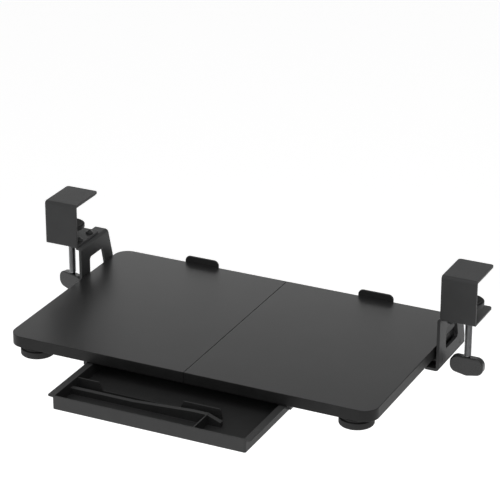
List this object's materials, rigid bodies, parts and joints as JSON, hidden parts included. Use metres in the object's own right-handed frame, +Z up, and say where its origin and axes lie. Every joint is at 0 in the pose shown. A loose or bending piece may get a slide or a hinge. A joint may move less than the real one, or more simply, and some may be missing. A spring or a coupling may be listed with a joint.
{
  "type": "under-desk keyboard tray",
  "caption": "Black keyboard tray that clamps to a desk edge: a jointed board sliding on rollers between bracket plates, with a pull-out pen drawer below and screw clamps at the sides.",
  "frame": {"origin": "middle of the upper front edge of the desk top that the clamps hold", "axes": "+X to the user's right, +Y into the desk, +Z up; the drawer and the board's free edge point to -Y"},
  "size_m": [0.6123, 0.4003, 0.1435],
  "materials": {
    "powder_coat": "satin powder coat, black",
    "zinc_steel": "zinc-plated steel, dull",
    "screw_steel": "dark turned steel thread",
    "rail_aluminium": "dark anodised extrusion",
    "board_laminate": "black laminate on fibreboard, semi-matt",
    "handle_plastic": "fine-grained dark grey plastic",
    "drawer_plastic": "fine-grained dark grey plastic",
    "stop_plastic": "near-black plastic",
    "runner_plastic": "near-black plastic",
    "rubber_black": "matt black rubber",
    "roller_nylon": "black nylon",
    "dowel_beech": "plain beech"
  },
  "bodies": {
    "root": {"clamp_left": "powder_coat", "clamp_right": "powder_coat", "jaw_pad_left": "rubber_black", "jaw_pad_right": "rubber_black", "clamp_nut_left": "zinc_steel", "clamp_nut_right": "zinc_steel", "bracket_left": "powder_coat", "bracket_right": "powder_coat", "bracket_bolts_left": "zinc_steel", "bracket_bolts_right": "zinc_steel", "bracket_nuts_left": "zinc_steel", "bracket_nuts_right": "zinc_steel", "roller_axles_left": "zinc_steel", "roller_axles_right": "zinc_steel"},
    "tray": {"board_left": "board_laminate", "board_right": "board_laminate", "front_joining_plate": "zinc_steel", "rear_joining_plate": "zinc_steel", "joining_screws": "zinc_steel", "seam_dowels": "dowel_beech", "rear_stop_left": "stop_plastic", "rear_stop_right": "stop_plastic", "rear_stop_screws": "zinc_steel", "front_foot_left": "rubber_black", "front_foot_right": "rubber_black", "foot_screws": "zinc_steel", "slide_rail_left": "rail_aluminium", "slide_rail_right": "rail_aluminium", "slide_rail_screws_left": "zinc_steel", "slide_rail_screws_right": "zinc_steel", "front_rail_stop_left": "runner_plastic", "front_rail_stop_right": "runner_plastic", "rear_rail_stop_left": "runner_plastic", "rear_rail_stop_right": "runner_plastic", "drawer_rail_left": "runner_plastic", "drawer_rail_right": "runner_plastic", "drawer_rail_screws": "zinc_steel"},
    "drawer_box": {"drawer": "drawer_plastic"},
    "front_wheel_left": {"front_roller_left": "roller_nylon"},
    "rear_wheel_left": {"rear_roller_left": "roller_nylon"},
    "pad_left": {"pressure_pad_left": "powder_coat", "pad_facing_left": "rubber_black"},
    "screw_left": {"clamp_screw_left": "screw_steel", "handle_left": "handle_plastic"},
    "front_wheel_right": {"front_roller_right": "roller_nylon"},
    "rear_wheel_right": {"rear_roller_right": "roller_nylon"},
    "pad_right": {"pressure_pad_right": "powder_coat", "pad_facing_right": "rubber_black"},
    "screw_right": {"clamp_screw_right": "screw_steel", "handle_right": "handle_plastic"}
  },
  "joints": [
    {"name": "tray_slide", "type": "slide", "parent": "root", "child": "tray", "axis": [0, 1, 0], "range_m": [-0.0125, 0.147]},
    {"name": "drawer_slide", "type": "slide", "parent": "tray", "child": "drawer_box", "axis": [0, 1, 0], "range_m": [-0.0328, 0.0987]},
    {"name": "front_roller_left_spin", "type": "hinge", "parent": "root", "child": "front_wheel_left", "pos_m": [-0.2352, 0.0132, -0.1173], "axis": [1, 0, 0], "range_deg": [-1770, 155]},
    {"name": "rear_roller_left_spin", "type": "hinge", "parent": "root", "child": "rear_wheel_left", "pos_m": [-0.2352, 0.0745, -0.1173], "axis": [1, 0, 0], "range_deg": [-1770, 155]},
    {"name": "pad_lift_left", "type": "slide", "parent": "root", "child": "pad_left", "axis": [0, 0, 1], "range_m": [-0.0055, 0.0347]},
    {"name": "screw_turn_left", "type": "hinge", "parent": "pad_left", "child": "screw_left", "pos_m": [-0.2837, 0.0294, -0.041], "axis": [0, 0, 1], "range_deg": [-1330, 8340]},
    {"name": "front_roller_right_spin", "type": "hinge", "parent": "root", "child": "front_wheel_right", "pos_m": [0.2352, 0.0132, -0.1173], "axis": [1, 0, 0], "range_deg": [-1770, 155]},
    {"name": "rear_roller_right_spin", "type": "hinge", "parent": "root", "child": "rear_wheel_right", "pos_m": [0.2352, 0.0745, -0.1173], "axis": [1, 0, 0], "range_deg": [-1770, 155]},
    {"name": "pad_lift_right", "type": "slide", "parent": "root", "child": "pad_right", "axis": [0, 0, 1], "range_m": [-0.0055, 0.0347]},
    {"name": "screw_turn_right", "type": "hinge", "parent": "pad_right", "child": "screw_right", "pos_m": [0.2837, 0.0294, -0.041], "axis": [0, 0, 1], "range_deg": [-1330, 8340]}
  ],
  "couplings": [
    {"joint": "front_roller_left_spin", "follows": "tray_slide", "rad_per_m": -208.33},
    {"joint": "rear_roller_left_spin", "follows": "tray_slide", "rad_per_m": -208.33},
    {"joint": "screw_turn_left", "follows": "pad_lift_left", "rad_per_m": 4188.8},
    {"joint": "front_roller_right_spin", "follows": "tray_slide", "rad_per_m": -208.33},
    {"joint": "rear_roller_right_spin", "follows": "tray_slide", "rad_per_m": -208.33},
    {"joint": "screw_turn_right", "follows": "pad_lift_right", "rad_per_m": 4188.8}
  ]
}
